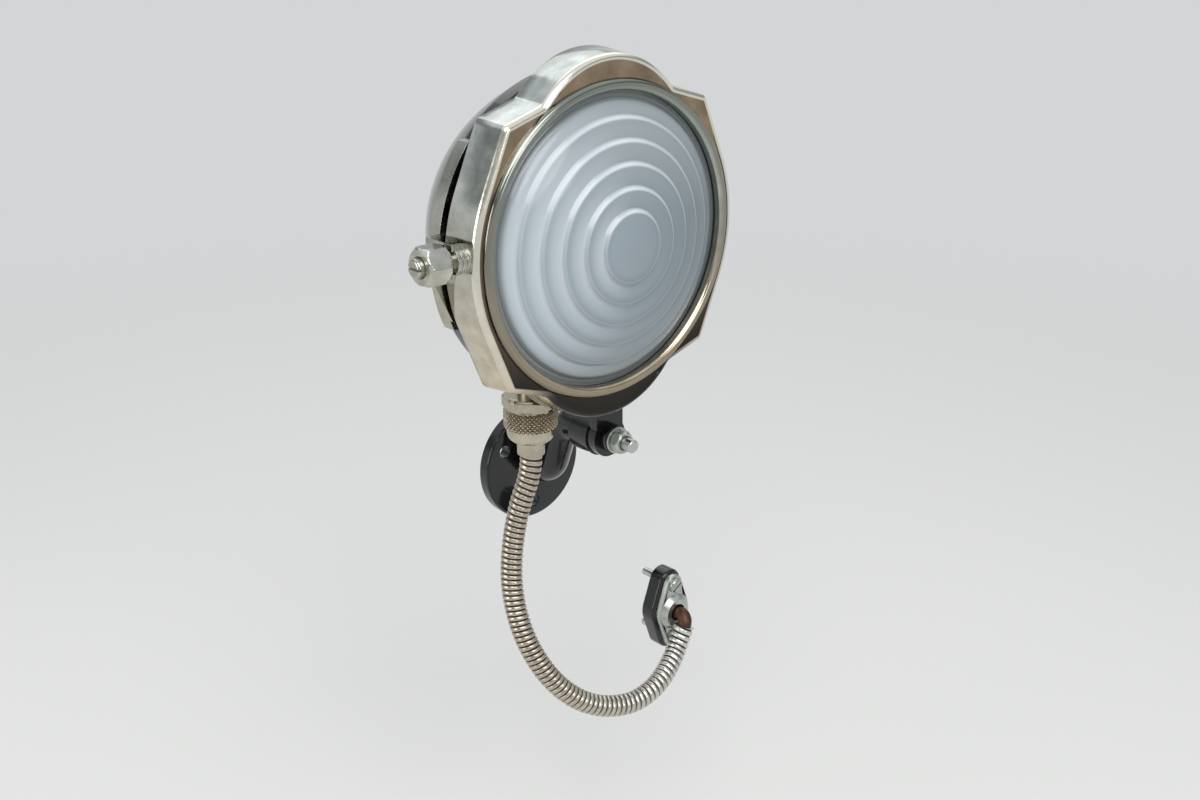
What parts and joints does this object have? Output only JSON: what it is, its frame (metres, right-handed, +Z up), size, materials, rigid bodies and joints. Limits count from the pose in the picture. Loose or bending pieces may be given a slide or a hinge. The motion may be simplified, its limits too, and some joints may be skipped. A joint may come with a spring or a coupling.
{
  "type": "electric side lamp of a veteran car, with bracket and conduit",
  "caption": "Round side lamp with a lobed metal bezel door, ringed frosted lens, black bowl, bolted bracket and a flexible metal conduit that loops down to an oval two-screw flange.",
  "frame": {"origin": "centre of the bracket foot's back face, in the middle of its three bolt holes", "axes": "+Z up, +Y back into the panel that the bracket is bolted to, so the lamp faces -Y; +X towards the car from the lamp"},
  "size_m": [0.197, 0.12, 0.3496],
  "materials": {
    "nickel": "polished nickel plate, softly clouded",
    "conduit_nickel": "nickel-plated spiral wrap, worn bright on its crests",
    "lens_glass": "pressed, frosted",
    "rubber": "matt",
    "steel": "spring wire",
    "black_enamel": "gloss black enamel",
    "silvered": "silvered",
    "brass": "dull",
    "bulb_glass": "clear",
    "copper": "dark brown copper tube"
  },
  "bodies": {
    "lamp": {"rim_ring": "black_enamel", "bowl": "black_enamel", "reflector": "silvered", "bulb_socket": "brass", "bulb_cap": "brass", "bulb": "bulb_glass", "body_leaf": "nickel", "hinge_pin": "nickel", "clasp_lug": "nickel", "lamp_lug": "black_enamel", "bracket": "black_enamel", "bracket_stud": "nickel", "bracket_washer": "nickel", "bracket_nut": "nickel", "outlet_nipple": "nickel", "connector_nut": "nickel", "ferrule": "nickel", "conduit": "conduit_nickel", "bushing": "copper", "flange": "nickel", "flange_pad": "black_enamel", "upper_screw": "nickel", "lower_screw": "nickel"},
    "door": {"bezel": "nickel", "lens": "lens_glass", "lens_gasket": "rubber", "lens_retainer": "steel", "door_leaf": "nickel", "clasp_boss": "nickel", "clasp_stud": "nickel", "clasp_nut": "nickel"}
  },
  "joints": [
    {"name": "door_hinge", "type": "hinge", "parent": "lamp", "child": "door", "pos_m": [0.0565, -0.079, 0.15], "axis": [0, 0, 1], "range_deg": [0, 100]}
  ]
}
